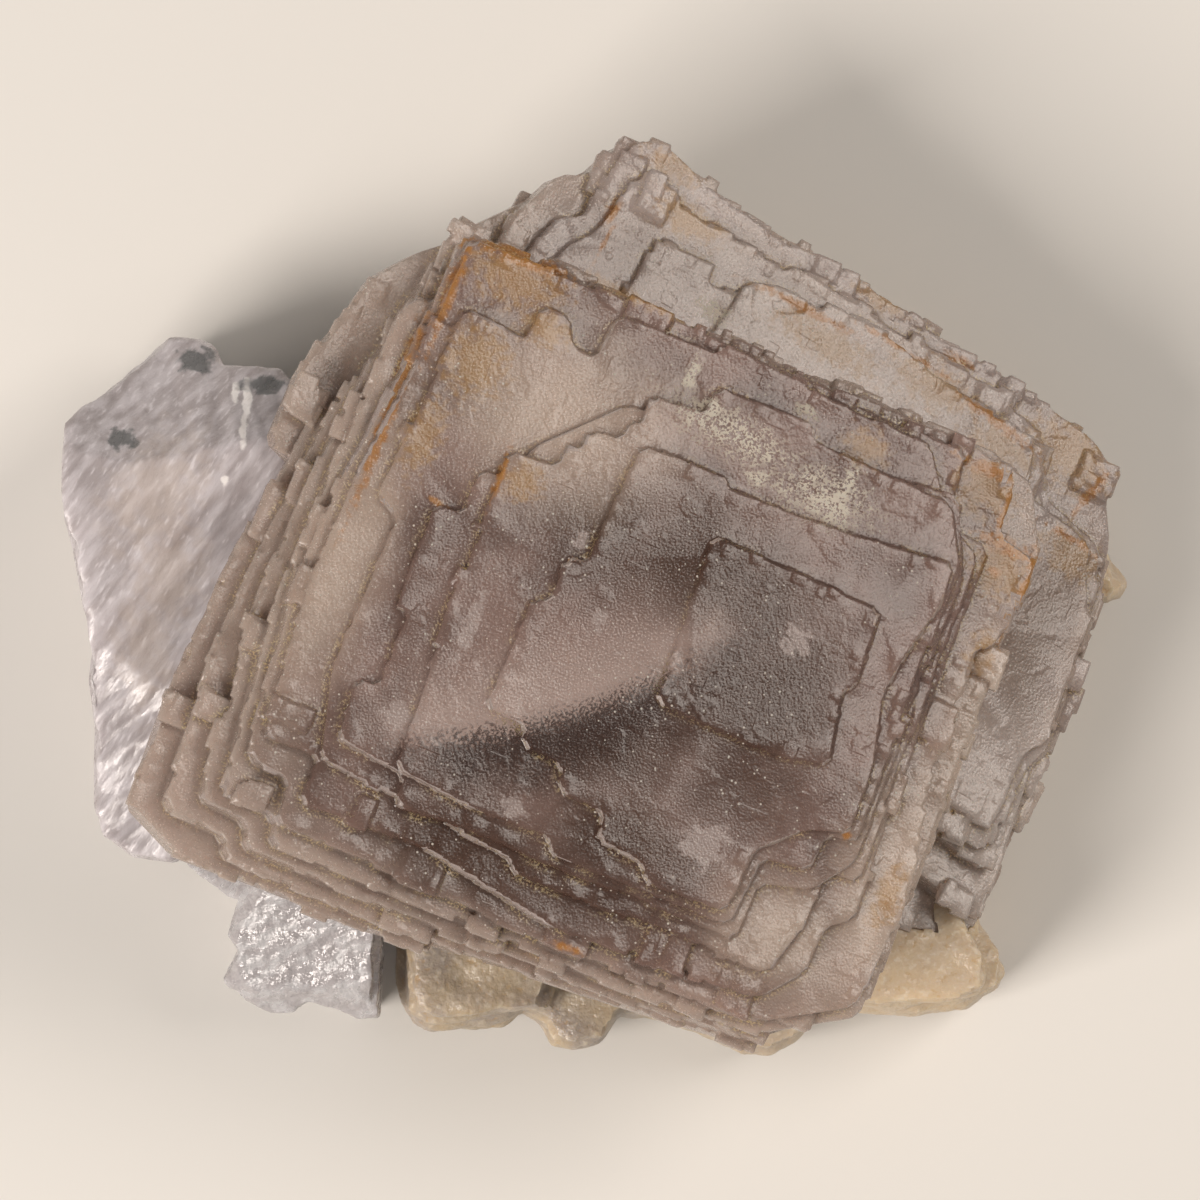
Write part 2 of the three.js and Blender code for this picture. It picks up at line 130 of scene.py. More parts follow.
def copy_of(node, name):
    """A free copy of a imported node, its triangles merged to one surface."""
    piece = bpy.data.objects.new(name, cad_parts[node].data.copy())
    piece.data.materials.clear()
    bpy.context.scene.collection.objects.link(piece)
    make_active(piece)
    bpy.ops.object.mode_set(mode="EDIT")
    bpy.ops.mesh.select_all(action="SELECT")
    bpy.ops.mesh.remove_doubles(threshold=MERGE_DISTANCE)
    bpy.ops.object.mode_set(mode="OBJECT")
    return piece


crystals = copy_of("fluorite_crystals", "stepped_fluorite")
print("crystals start with", len(crystals.data.polygons), "faces")

# %% [markdown]
# ## Modifiers and points
#
# Each modifier is applied as soon as it is added, because the next step works on its result. The points of a
# mesh are read as the rows of an array, which is much quicker than a loop over them.

# %% Modifiers and points
def apply_modifier(piece, kind, **settings):
    """Adds a modifier with its settings and applies it."""
    make_active(piece)
    modifier = piece.modifiers.new(kind.lower(), kind)
    for setting, value in settings.items():
        setattr(modifier, setting, value)
    bpy.ops.object.modifier_apply(modifier=modifier.name)


def positions(piece):
    """Every point of a piece as a row, in metres."""
    found = np.empty(len(piece.data.vertices) * 3)
    piece.data.vertices.foreach_get("co", found)
    return found.reshape(-1, 3)


def normals(piece):
    """The outward direction at every point, as rows."""
    found = np.empty(len(piece.data.vertices) * 3, np.float32)
    piece.data.vertex_normals.foreach_get("vector", found)
    return found.reshape(-1, 3).astype(float)


print("crystals start with", len(positions(crystals)), "points")

# %% [markdown]
# ## Growth blocks
#
# The brink of a real growth terrace is crowded with small square blocks, each a fraction of a millimetre
# high. They could be carved one by one, or pushed out by a displacement texture. Copies of one modelled block
# are quicker than the first, and keep sharper edges than the second. The block is a cube with its upper edges
# bevelled, so that each copy catches a thin line of light.

# %% One growth block
BLOCK_BEVEL = 0.22


def growth_block():
    """A unit block, its top edges bevelled, centred on its own origin."""
    bpy.ops.mesh.primitive_cube_add(size=2)
    block = bpy.context.object
    bpy.ops.object.mode_set(mode="EDIT")
    bpy.ops.mesh.select_all(action="DESELECT")
    edit = bmesh.from_edit_mesh(block.data)
    for edge in edit.edges:
        edge.select = all(v.co.z > 0 for v in edge.verts)
    bmesh.update_edit_mesh(block.data)
    bpy.ops.mesh.bevel(offset=BLOCK_BEVEL, segments=1)
    bpy.ops.mesh.select_all(action="SELECT")
    bpy.ops.mesh.quads_convert_to_tris()
    bpy.ops.object.mode_set(mode="OBJECT")
    return block


block = growth_block()
print("a growth block has", len(block.data.polygons), "faces")

# %% [markdown]
# ## Where the brinks are
#
# A brink is an outer edge where a flat top meets an upright wall. Both faces have to line up with the
# crystal's axes, so each edge is tried in the frame of either cube, and only that cube's own edges pass.
# Places are noted at even steps along each brink, with the direction in which the wall faces.

# %% Find the brinks
BRINK_SPACING = 0.8
FLAT_ENOUGH = 0.97


def brinks(piece, axes):
    """Places along the crystal's sharp outer edges: a, b, c and which way is out, in its own frame."""
    mesh = bmesh.new()
    mesh.from_mesh(piece.data)
    found = []
    for edge in mesh.edges:
        if len(edge.link_faces) != 2 or not edge.is_convex:
            continue
        sides = direction_in_axes(np.array([face.normal for face in edge.link_faces]), axes)
        tops = sides[:, 2] > FLAT_ENOUGH
        walls = np.abs(sides[:, :2]).max(axis=1) > FLAT_ENOUGH
        if tops.sum() != 1 or walls.sum() != 1:
            continue
        outward = sides[walls][0]
        ends = in_axes(np.array([v.co for v in edge.verts]), axes)
        steps = max(1, round(np.linalg.norm(ends[1] - ends[0]) / BRINK_SPACING))
        for k in range(steps):
            at = ends[0] + (ends[1] - ends[0]) * (k + 0.5) / steps
            found.append([*at, outward[0], outward[1]])
    mesh.free()
    return np.array(found)


main_brinks = brinks(crystals, MAIN_CUBE)
rear_brinks = brinks(crystals, REAR_CUBE)
print("brink places:", len(main_brinks), "on the main cube,", len(rear_brinks), "on the rear one")

# %% [markdown]
# ## Which cube a face belongs to
#
# The two cubes differ in tint, but once they are fused to one skin nothing in the mesh tells them apart. They
# lean differently, though, so every flat face of the solid lines up with the axes of only one of them. The
# solid's faces are kept as a search tree, and the finished skin takes its cube from the nearest of them.

# %% Sort the faces
solid = bmesh.new()
solid.from_mesh(crystals.data)
solid_tree = BVHTree.FromBMesh(solid)
solid_normals = np.array([face.normal for face in solid.faces])
fit_main = np.abs(direction_in_axes(solid_normals, MAIN_CUBE)).max(axis=1)
fit_rear = np.abs(direction_in_axes(solid_normals, REAR_CUBE)).max(axis=1)
face_is_rear = fit_rear > fit_main
solid.free()


def belongs_to_rear(points):
    """1 where a point lies on the rear cube, 0 where it lies on the main one."""
    nearest = [solid_tree.find_nearest(Vector(point))[2] for point in points]
    return face_is_rear[nearest].astype(float)


print("faces of the rear cube:", int(face_is_rear.sum()), "of", len(face_is_rear))

# %% [markdown]
# ## Setting the blocks
#
# Half of the places get a block. Its size, how far it stands out and how far it sinks are drawn from a seeded
# generator, so that no two look alike and every run gives the same crystal. Near the summit the blocks are
# small. On the tiers below they are coarser, because the crystal grew faster there. They only have to overlap
# the crystal here, because the next step fuses them with it.

# %% Set the blocks along the brinks
BLOCK_SHARE = 0.5
BLOCK_HALF = (0.2, 0.75)
BLOCK_HALF_HEIGHT = 0.4
BLOCK_REACH = (0.03, 0.17)
BLOCK_RISES = [0.0, -0.12, -0.25, 0.05]
LOW_TIERS = -1.8
LOW_TIER_COARSENESS = 1.7
draw = np.random.default_rng(11)


def set_blocks(places, axes):
    """Vertices and faces of block copies at a share of the places, in metres."""
    corners = positions(block)
    faces = [tuple(face.vertices) for face in block.data.polygons]
    to_frame = np.array(axes)
    all_corners, all_faces = [], []
    for a, b, c, out_a, out_b in places:
        if draw.random() > BLOCK_SHARE:
            continue
        coarse = 1 if c > LOW_TIERS else LOW_TIER_COARSENESS
        half_a = draw.uniform(*BLOCK_HALF) * coarse
        half_b = draw.uniform(*BLOCK_HALF) * coarse
        half = np.array([half_a, half_b, BLOCK_HALF_HEIGHT])
        reach = draw.uniform(*BLOCK_REACH) * coarse**2
        rise = draw.choice(BLOCK_RISES)
        centre = np.array([a, b, c + rise - half[2]])
        centre[:2] += (reach - half[:2]) * np.array([out_a, out_b])
        local = (centre + corners * half) * MM
        first = len(corners) * len(all_corners)
        all_corners.append(local @ to_frame[:3, :3].T + to_frame[:3, 3])
        all_faces += [tuple(first + v for v in face) for face in faces]
    return np.concatenate(all_corners), all_faces


for name, places, axes in (("main_blocks", main_brinks, MAIN_CUBE), ("rear_blocks", rear_brinks, REAR_CUBE)):
    corners, faces = set_blocks(places, axes)
    mesh = bpy.data.meshes.new(name)
    mesh.from_pydata(corners.tolist(), [], faces)
    blocks = bpy.data.objects.new(name, mesh)
    bpy.context.scene.collection.objects.link(blocks)
    make_active(crystals)
    blocks.select_set(True)
    bpy.ops.object.join()
bpy.data.objects.remove(block)
print("crystals and blocks:", len(crystals.data.polygons), "faces")

# %% [markdown]
# ## One skin
#
# The crystal and its blocks have to become a single closed skin. A boolean union of thousands of overlapping
# blocks is slow and leaves slivers, so a voxel remesh does it. Its grain is finer than the lowest terrace,
# and it rounds every edge by about that much, which is just what a natural growth edge looks like through a
# magnifier. The crystal is turned upright in its own axes for it, so that the grain runs along the terraces
# and their edges come out straight. Flat faces then need few triangles and the brinks many, so the skin is
# thinned to a weight that still opens quickly.

# %% Fuse to one skin
SKIN_GRAIN = 0.125
SOFTENING = 0.3
MOST_TRIANGLES = 195000
GROWTH_CREASE = 32

crystals.data.transform(MAIN_CUBE.inverted())
apply_modifier(crystals, "REMESH", mode="VOXEL", voxel_size=SKIN_GRAIN * MM)
apply_modifier(crystals, "SMOOTH", factor=SOFTENING, iterations=1)
crystals.data.transform(MAIN_CUBE)
print("fused skin:", len(crystals.data.polygons), "faces")

triangles = len(crystals.data.polygons) * 2
apply_modifier(crystals, "DECIMATE", ratio=MOST_TRIANGLES / triangles)
make_active(crystals)
bpy.ops.object.shade_smooth_by_angle(angle=math.radians(GROWTH_CREASE))
print("finished crystals:", len(crystals.data.polygons), "faces")

# %% [markdown]
# ## Where the surface is, in the crystal's own millimetres
#
# The finish of a crystal follows its own axes. A UV map would need seams, and object coordinates follow the
# room instead. Every point of the skin therefore keeps its place in its own cube, as an attribute called
# `growth`. The faces of the two cubes are told apart here as well, because each cube gets its own finish.

# %% Growth attribute
def keep_growth_place(piece):
    """Keeps each point's place in its cube, and returns 1 for the faces of the rear cube."""
    points = positions(piece)
    rear = belongs_to_rear(points)
    place = np.where(rear[:, None] > 0, in_axes(points, REAR_CUBE), in_axes(points, MAIN_CUBE))
    attribute = piece.data.attributes.new("growth", "FLOAT_VECTOR", "POINT")
    attribute.data.foreach_set("vector", place.astype(np.float32).ravel())
    corners = np.empty(len(piece.data.loops), np.int32)
    piece.data.loops.foreach_get("vertex_index", corners)
    first_corner = np.empty(len(piece.data.polygons), np.int32)
    piece.data.polygons.foreach_get("loop_start", first_corner)
    print(piece.name, "has", round(100 * rear.mean()), "% of its points on the rear cube")
    return np.maximum.reduceat(rear[corners], first_corner).astype(np.int32)


face_cube = keep_growth_place(crystals)

# %% [markdown]
# ## Waves for the broken pieces
#
# Calcite breaks in three flat directions and, where it is strained, in curved shells. Sculpting would give
# those shells, but not the same ones twice. A smooth noise made of numbers does, and it can be stretched along
# one direction, as the shells of a real break are. It also shifts with height, so that upright faces get it.

# %% Waves
def hash_of(column, row, seed):
    """A fixed number between 0 and 1 for each cell of a grid, from factors that only have to be uneven."""
    mixed = np.sin(column * 12.9898 + row * 78.233 + seed * 37.719) * 43758.5453
    return mixed - np.floor(mixed)


def smooth_noise(x, y, seed):
    """Smooth noise from 0 to 1 with lumps of size 1."""
    column, row = np.floor(x), np.floor(y)
    part_x, part_y = x - column, y - row
    part_x, part_y = part_x**2 * (3 - 2 * part_x), part_y**2 * (3 - 2 * part_y)
    near = hash_of(column, row, seed) * (1 - part_x) + hash_of(column + 1, row, seed) * part_x
    far = hash_of(column, row + 1, seed) * (1 - part_x) + hash_of(column + 1, row + 1, seed) * part_x
    return near * (1 - part_y) + far * part_y


def waves(points, across, along, turn, seed):
    """Noise from -1 to 1 over points in mm, with waves of the given width and length, turned in degrees."""
    angle = math.radians(turn)
    x, y, z = points.T
    u = (x * math.cos(angle) + y * math.sin(angle) + z * 0.6) / along
    v = (-x * math.sin(angle) + y * math.cos(angle) + z * 0.8) / across
    return 2 * smooth_noise(u, v, seed) - 1


print("two neighbouring waves:", waves(np.array([[0.5, 0.5, 0], [1.5, 0.5, 0]]), 1, 1, 0, 1).round(2))

# %% [markdown]
# ## The slab and the base
#
# The slab's face flows in long shallow waves, and the honey base is lumpy and worn. Each gets an even skin
# first, and then moves in and out by three layers of waves, from wide to narrow. The flat underside stays as
# it is, so that the specimen still lies still.

# %% Slab and base
BREAK_CREASE = 40


def roughen(piece, grain, *layers):
    """Remeshes a piece and moves its skin by layers of waves: height, across, along, turn."""
    apply_modifier(piece, "REMESH", mode="VOXEL", voxel_size=grain * MM)
    points, outward = positions(piece), normals(piece)
    shift = np.zeros(len(points))
    for number, (height, across, along, turn) in enumerate(layers):
        shift += height * waves(points / MM, across, along, turn, number + 1)
    lifted = np.clip(points[:, 2] / MM, 0, 1)
    moved = points + outward * (shift * lifted * MM)[:, None]
    piece.data.vertices.foreach_set("co", moved.astype(np.float32).ravel())
    piece.data.update()
    make_active(piece)
    bpy.ops.object.shade_smooth_by_angle(angle=math.radians(BREAK_CREASE))
    print(piece.name, len(piece.data.polygons), "faces, moved by up to", round(np.abs(shift).max(), 2), "mm")


slab = copy_of("calcite_slab", "cleaved_slab")
roughen(slab, 0.3, (0.45, 2.6, 9, 55), (0.22, 1.1, 5, 48), (0.1, 0.5, 1.6, 60))
matrix = copy_of("honey_matrix", "honey_base")
roughen(matrix, 0.45, (0.4, 3.5, 4.5, 15), (0.2, 1.4, 1.8, 40), (0.08, 0.6, 0.7, 0))

# %% [markdown]
# ## The glassy chunk
#
# The chunk was struck off a larger crystal, so its rim is a ring of small flat facets that meet in sharp
# edges. A bevel would follow the old edges, so each facet is cut with a bisect instead: it takes away what is
# outside of a plane and closes the cut. A facet is listed as a point on the cut and the direction it faces.

# %% Glassy facets
CHUNK_FACETS = [
    ((-31.5, -29, 13), (-0.8, -0.2, 0.6)),
    ((-30.5, -33, 12), (-0.5, -0.6, 0.6)),
    ((-26, -34.2, 12), (-0.1, -0.8, 0.6)),
    ((-21.5, -34.6, 13), (0.1, -0.7, 0.7)),
    ((-30.6, -25, 14), (-0.7, 0.1, 0.7)),
    ((-29, -34, 7), (-0.3, -0.9, -0.2)),
    ((-31.5, -31, 6), (-0.9, -0.3, -0.2)),
]

chunk = copy_of("calcite_chunk", "clear_chunk")
make_active(chunk)
bpy.ops.object.mode_set(mode="EDIT")
for point, facing in CHUNK_FACETS:
    bpy.ops.mesh.select_all(action="SELECT")
    bpy.ops.mesh.bisect(plane_co=Vector(point) * MM, plane_no=facing, use_fill=True, clear_outer=True)
bpy.ops.object.mode_set(mode="OBJECT")
roughen(chunk, 0.22, (0.16, 1.6, 2.6, 30), (0.07, 0.5, 0.8, 75))

# %% [markdown]
# ## Colours and nodes
#
# Colours are written as the sRGB hex values a designer would pick, and one function turns them to the linear
# values that the shader wants. One more adds a node with its settings and links. Inputs are named, or counted
# from 0. A Map Range takes a value, the two ends of the range it comes from and the two ends it goes to, which
# are 0 and 1 when they aren't given. A Mix takes the mask, the colour below and the colour above. Patterns
# are measured in millimetres, so a noise of scale 5 has lumps 1/5 mm wide.

# %% Material helpers
SOFT = {"interpolation_type": "SMOOTHSTEP"}


def colour(code):
    """Linear RGBA from an sRGB hex code."""
    channels = [int(code[i : i + 2], 16) / 255 for i in (1, 3, 5)]
    linear = [v / 12.92 if v <= 0.04045 else ((v + 0.055) / 1.055) ** 2.4 for v in channels]
    return (*linear, 1)


def add(tree, kind, inputs=None, **settings):
    """Adds a node, sets its properties, and fills or links its inputs. Returns its first output."""
    node = tree.nodes.new("ShaderNode" + kind)
    for setting, value in settings.items():
        setattr(node, setting, value)
    for socket, value in (inputs or {}).items():
        if isinstance(value, bpy.types.NodeSocket):
            tree.links.new(value, node.inputs[socket])
        else:
            node.inputs[socket].default_value = value
    return next(socket for socket in node.outputs if socket.enabled)


def new_material(name, **surface):
    """A material with one Principled shader, whose plain values are set here."""
    material = bpy.data.materials.new(name)
    material.use_nodes = True
    shader = material.node_tree.nodes["Principled BSDF"]
    for socket, value in surface.items():
        shader.inputs[socket.replace("_", " ")].default_value = value
    return material, material.node_tree, shader


print("a mid grey is", round(colour("#808080")[0], 3), "in linear light")

# %% [markdown]
# ## Soft spots
#
# A stain, or a patch of painted shade or painted light, could be painted on an image, but an image is coarse
# up close and needs a UV map. Here each is a soft-edged ellipse: a, b, half width, half height, and for some a
# turn in degrees. `soft_spots` joins a list of them to one mask, and noise makes its edge ragged. `paint`
# lays a colour through that mask, like a glaze.

# %% Soft spots
STAIN_REACH = 2.2
STAIN_DEPTH = 1000


def soft_spots(tree, place, ragged, spots, soft, strength):
    """A mask with a given strength inside the spots and 0 outside. Its edges are soft and ragged."""
    glow = None
    for a, b, half_a, half_b, *turn in spots:
        node = add(tree, "TexGradient", {"Vector": place}, gradient_type="SPHERICAL").node
        around = node.texture_mapping
        around.vector_type = "TEXTURE"
        around.translation = (a, b, 0)
        around.rotation = (0, 0, math.radians(turn[0] if turn else 0))
        around.scale = (half_a * STAIN_REACH, half_b * STAIN_REACH, STAIN_DEPTH)
        spot = node.outputs["Fac"]
        glow = spot if glow is None else add(tree, "Math", {0: glow, 1: spot}, operation="MAXIMUM")
    away = add(tree, "Math", {0: glow, 1: -STAIN_REACH, 2: STAIN_REACH}, operation="MULTIPLY_ADD")
    away = add(tree, "Math", {0: away, 1: ragged}, operation="ADD")
    return add(tree, "MapRange", {0: away, 1: 1 + soft, 2: 1 - soft, 4: strength}, **SOFT)


def paint(tree, place, ragged, body, code, spots, soft, strength):
    """Paints spots of a colour on the body colour."""
    mask = soft_spots(tree, place, ragged, spots, soft, strength)
    return add(tree, "MixRGB", {0: mask, 1: body, 2: colour(code)})


print("a stain fades out at", STAIN_REACH, "times its size")

# %% [markdown]
# ## What later waters left on the crystals
#
# Iron-rich water seeped along the ledges and left orange and ochre stains. Yellow-white clay grains settled in
# the corners, and pale round scars show where other crystals once touched. Random places would miss the
# ledges, so each is listed where it is seen, in the millimetres of the cube it lies on.

# %% Where the stains are
ORANGE_MAIN = [
    (-24.9, 20.8, 0.4, 4.4), (-26.1, 10, 0.45, 7.6), (-20.6, 26.3, 3.6, 0.8), (-19.8, 4.3, 0.7, 0.25),
    (-15.8, 8.3, 0.25, 2.0), (23, 25, 2.4, 0.5), (25.5, 22.3, 0.3, 2.6), (27.1, 19.7, 2.7, 0.7),
    (29.4, 16.4, 0.4, 3.8), (26.5, 17.2, 0.6, 0.3), (22, -8.5, 0.5, 0.4), (3.7, -25.7, 1.1, 0.3),
]
ORANGE_REAR = [
    (-24, 2.6, 0.4, 1.2), (-23.4, 0.2, 0.2, 1.6), (-6.1, 3.9, 4.4, 0.35, 4), (3.5, 5.5, 4, 0.3, 2),
    (13.7, 4.2, 3.8, 0.4, -6), (24, 3.6, 0.35, 2.4, -10), (8.4, 7.6, 1.3, 0.35), (24.2, -0.9, 2.2, 0.3),
]
OCHRE_MAIN = [
    (-20.3, 24.4, 3.8, 2.2), (-21, 16.4, 2.4, 2.8), (-22.8, 9, 1.3, 2.8), (-13.9, 8.6, 1.5, 1.5),
    (-16.4, 21.2, 2, 1.2), (12.3, 22.3, 1.8, 1.4), (23.3, 23.4, 2.6, 2), (27, 17.6, 2.6, 2.2),
    (27.9, 10.4, 1.2, 1.6), (27.6, -11.7, 1, 2.4), (-9.6, 27, 3.4, 0.8),
]
OCHRE_REAR = [
    (-18, 5.7, 2.7, 1.5), (-21.1, 9, 2.4, 1), (-3, 2.4, 4.8, 1.3), (0.2, 8.6, 2.2, 0.9),
    (7.4, 4.2, 3.6, 1.8), (20.9, 5.9, 3.4, 2.8), (-21, -2.9, 2.4, 0.6), (14.5, 2.6, 3.2, 1.4),
    (24.5, -2.2, 2.6, 1.6),
]
CLAY_MAIN = [
    (-3.7, 22.4, 0.5, 1.5), (-1.4, 20.3, 1.3, 0.6), (6.5, 23.3, 1, 0.45),
    (11, 16.3, 2.2, 1.1), (11.6, 18.6, 0.6, 1.7, -12), (4.4, 16.3, 1.2, 0.6),
]
CLAY_REAR = [(-12.4, -0.3, 1.4, 0.8)]
CLAY_FIELD = [(1.4, 19, 5, 1.5, -6), (10.2, 17, 3.6, 1.8)]
SCARS_MAIN = [
    (-7.7, 5.8, 0.5, 0.75), (-3.9, 0.1, 0.6, 0.9), (-13.6, -4.4, 0.6, 2.7), (-16.4, -13.5, 1.4, 1.1),
    (11.1, -13.9, 1.9, 1.7), (24.4, -0.6, 1.1, 1.4), (-4.9, -17, 1, 0.6), (12.2, 4.8, 1.1, 1.3),
]
print("iron stains:", len(ORANGE_MAIN + ORANGE_REAR + OCHRE_MAIN + OCHRE_REAR))

# %% [markdown]
# ## Painted depth, shade and light
#
# The colour is painted dark where the crystal is thick and pale towards the rim, where it is thin: painted
# shade and painted light for the light that passes through it. Part of the dark is painted shade where the
# faces would mirror darkness, and part of the pale is painted light and a painted highlight. A painted
# reflection lies on the main cube, part of a large circle. The colour could be a volume that the light is
# traced through, but that takes hours and can't be placed. Wide soft spots on the surface look the same from
# above.

# %% Where it is painted dark and where pale
# Dark spots: partly the cube's darker body, partly painted shade where its faces would mirror darkness.
DARK_BODY_AND_SHADE_MAIN = [
    (4, 7, 10, 5.5, -8), (10.5, 0, 7, 8), (-1, -10.5, 9, 3, 28), (-6, 8, 5, 4),
    (4.5, -16.2, 6, 3.6), (-4, -21.5, 13, 4),
]
# Pale spots: painted light on faces the lamps leave darker, a painted highlight at the lower right, and pale
# rims.
PALE_AND_LIT_MAIN = [(27, -10, 4, 9), (30, 4, 3, 8), (20, -18, 5, 4), (-13, 15, 8, 6), (-25.5, -3, 3, 12)]
DEEP_REAR = [(25, -9, 4, 8)]
# Paler ends of the rear cube: painted light.
PALE_AND_LIT_REAR = [(28, -27, 7, 9), (-3, 1, 14, 5)]
# A painted reflection on the main cube: the arc where a softbox's mirror image ends, and the part that shows.
REFLECTION_EDGE_CENTRE = (-39.1, 36.2, 0)
REFLECTION_EDGE_RADIUS = 56.9
REFLECTION_EDGE_DEPTH = 4000
REFLECTION_EDGE_SEEN = [(-5, -7, 13.5, 9, 38)]
print("the veil is part of a circle", 2 * REFLECTION_EDGE_RADIUS, "mm across")

# %% [markdown]
# ## Relief of the growth faces
#
# The faces of these cubes grew slowly and are faintly etched. Three things too fine for the mesh are drawn as
# relief: low square steps on the tops, stacked layers about half a millimetre thick on the walls, and a
# frosting on both. The real frosting is finer than a pixel, so it is drawn with grains 0.2 mm wide, as coarse
# as it needs to be to show. Steps of random height come from a brick pattern with no mortar: its two colours
# are the lowest and the highest step in millimetres, and each cell takes a mix of them.

# %% Growth relief
FROSTING = 0.04
SWELLING = 0.03
TOP_STEP = 0.035
WALL_STEP = 0.14
CHIP_STEP = 0.1
WALL_MIDDLE = 0.12


def growth_relief(tree, place, parts, grain):
    """Height in mm: low square steps on the top faces, stacked layers on the walls, frosting on both."""
    along = add(tree, "Math", {0: parts[0], 1: parts[1]}, operation="ADD")
    wall_place = add(tree, "CombineXYZ", {0: along, 1: parts[2]})
    cells = []
    for vector, width, height, shift, step in (
        (place, 3.1, 1.9, 0.37, TOP_STEP),
        (wall_place, 4.7, 0.52, 0.5, WALL_STEP),
        (wall_place, 1.9, 0.9, 0.5, CHIP_STEP),
    ):
        brick = {"Vector": vector, "Scale": 1, "Mortar Size": 0, "Brick Width": width, "Row Height": height}
        brick.update({"Color1": (0, 0, 0, 1), "Color2": (step, step, step, 1)})
        cells.append(add(tree, "TexBrick", brick, offset=shift))
    steps, layers, chips = cells

    patches = add(tree, "TexNoise", {"Vector": place, "Scale": 0.42, "Detail": 2})
    patches = add(tree, "MapRange", {0: patches, 1: 0.52, 2: 0.62}, **SOFT)
    tops = add(tree, "Math", {0: steps, 1: patches}, operation="MULTIPLY")
    walls = add(tree, "Math", {0: layers, 1: chips}, operation="ADD")
    walls = add(tree, "Math", {0: walls, 1: WALL_MIDDLE}, operation="SUBTRACT")

    facing = tree.nodes.new("ShaderNodeNewGeometry").outputs["True Normal"]
    flat = add(tree, "VectorMath", {0: facing, 1: tuple(MAIN_CUBE.col[2][:3])}, operation="DOT_PRODUCT")
    flat = add(tree, "MapRange", {0: flat, 1: 0.5, 2: 0.7}, **SOFT)
    height = add(tree, "Mix", {0: flat, 2: walls, 3: tops}, data_type="FLOAT")
    swell = add(tree, "TexNoise", {"Vector": place, "Scale": 0.7, "Detail": 1})
    height = add(tree, "Math", {0: swell, 1: SWELLING, 2: height}, operation="MULTIPLY_ADD")
    return add(tree, "Math", {0: grain, 1: FROSTING, 2: height}, operation="MULTIPLY_ADD")


print("the steps on a wall differ by up to", round(WALL_STEP + CHIP_STEP, 2), "mm")

# %% [markdown]
# ## Corner shade, dust and clay
#
# The inner corners of the steps are painted a darker brown, as painted shade, and cream-coloured grains settle
# in them, in some stretches more than in others. Thousands of tiny meshes could stand for the grains, but at
# this distance a patch of colour looks the same. Ambient occlusion over less than a millimetre finds the
# corners. Clay lies packed in its own spots, and sprinkled over the ledge between them. Single white grains, a
# tenth of a millimetre wide, lie all over.

# %% Corner shade, dust and clay
NOOK = 0.8


def corner_shade_and_dust(tree, place, ragged, broad, grain, body, clay):
    """Lays painted corner shade, grains and clay on the body colour. Returns it, and a mask of where the clay
    lies.
    """
    nook = add(tree, "AmbientOcclusion", {"Distance": NOOK * MM}, samples=2, only_local=True)
    nook = add(tree, "MapRange", {0: nook.node.outputs["AO"], 1: 0.86, 2: 0.6}, **SOFT)
    # Painted shade: the colour darkens in the inner corners.
    corner_shade = add(tree, "Math", {0: nook, 1: 0.45}, operation="MULTIPLY")
    body = add(tree, "MixRGB", {0: corner_shade, 1: body, 2: colour("#3e2d25")})
    stretches = add(tree, "TexNoise", {"Vector": place, "Scale": 0.3, "Detail": 2})
    stretches = add(tree, "MapRange", {0: stretches, 1: 0.44, 2: 0.56}, **SOFT)
    settled = add(tree, "MapRange", {0: grain, 1: 0.49, 2: 0.55}, **SOFT)
    settled = add(tree, "Math", {0: stretches, 1: settled}, operation="MULTIPLY")
    settled = add(tree, "Math", {0: settled, 1: nook}, operation="MULTIPLY")
    body = add(tree, "MixRGB", {0: settled, 1: body, 2: colour("#ead6a6")})

    spots = soft_spots(tree, place, ragged, clay, 0.5, 1)
    packed = add(tree, "MapRange", {0: grain, 1: 0.38, 2: 0.52}, **SOFT)
    packed = add(tree, "Math", {0: spots, 1: packed}, operation="MULTIPLY")
    field = soft_spots(tree, place, ragged, CLAY_FIELD, 0.8, 1)
    sprinkled = add(tree, "MapRange", {0: grain, 1: 0.47, 2: 0.54}, **SOFT)
    sprinkled = add(tree, "Math", {0: field, 1: sprinkled}, operation="MULTIPLY")
    packed = add(tree, "Math", {0: packed, 1: sprinkled}, operation="MAXIMUM")
    cover = add(tree, "Math", {0: packed, 1: 0.95}, operation="MULTIPLY")
    body = add(tree, "MixRGB", {0: cover, 1: body, 2: colour("#f2ead9")})

    drift = add(tree, "MapRange", {0: broad, 1: 0.4, 2: 0.65, 3: 0.02, 4: -0.03}, **SOFT)
    flecks = add(tree, "TexVoronoi", {"Vector": place, "Scale": 1.3})
    flecks = add(tree, "Math", {0: flecks, 1: drift}, operation="ADD")
    loose = add(tree, "MapRange", {0: flecks, 1: 0.115, 2: 0.07}, **SOFT)
    cover = add(tree, "Math", {0: loose, 1: 0.85}, operation="MULTIPLY")
    body = add(tree, "MixRGB", {0: cover, 1: body, 2: colour("#f3ede2")})
    return body, add(tree, "Math", {0: packed, 1: loose}, operation="MAXIMUM")


print("corners are dusty over", NOOK, "mm")

# %% [markdown]
# ## Fluorite
#
# Fluorite bends light weakly, with an index of 1.434. Its faces grew and were then faintly etched, which gives
# them a satin sheen with a very fine grain, over a body that light enters and leaves again softly. Clear glass
# would look too empty and plain stone too dead, so a part of the light is let through and a part is scattered
# a few millimetres deep. The lower tiers are painted paler, as painted light for the light that shows through
# them where they are thin. Clay is dull, so the surface is rougher where it lies.

# %% Fluorite finish
FLUORITE_INDEX = 1.434
FLUORITE_ROUGHNESS = (0.18, 0.28)
CLAY_ROUGHNESS = 0.35


